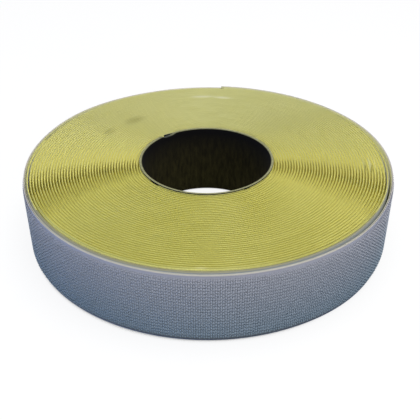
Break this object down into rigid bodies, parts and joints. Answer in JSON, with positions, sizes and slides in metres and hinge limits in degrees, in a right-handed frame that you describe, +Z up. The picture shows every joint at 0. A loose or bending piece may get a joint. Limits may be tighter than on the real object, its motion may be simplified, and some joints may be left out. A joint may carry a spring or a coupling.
{
  "type": "hook and loop tape roll",
  "caption": "Roll of self-adhesive hook tape lying flat: hook-faced strip and yellow release liner wound on an open paperboard core, with a free end that lifts.",
  "frame": {"origin": "on the core's axis, at the plane of its lower rim, which the roll stands on", "axes": "+Z up along the core's axis; the tape's free tip is at the back, 6 degrees from +Y towards +X, and the tape winds outwards anticlockwise seen from above"},
  "size_m": [0.2619, 0.2626, 0.054],
  "materials": {
    "core_paperboard": "matte",
    "hook_cloth": "matte",
    "adhesive": "gloss",
    "liner_paper": "satin"
  },
  "bodies": {
    "roll": {"core_tube": "core_paperboard", "hook_tape_inner_turns": "hook_cloth", "release_liner_inner_turns": "liner_paper", "hook_tape_outer_turn": "hook_cloth", "adhesive_outer_turn": "adhesive", "release_liner_outer_turn": "liner_paper"},
    "free_end": {"hook_tape_free_end": "hook_cloth", "adhesive_free_end": "adhesive", "release_liner_free_end": "liner_paper"}
  },
  "joints": [
    {"name": "free_end_lift", "type": "hinge", "parent": "roll", "child": "free_end", "pos_m": [0.07753, 0.1077, 0.027], "axis": [0, 0, -1], "range_deg": [0, 60], "stiffness_Nm_per_rad": 0.01}
  ]
}
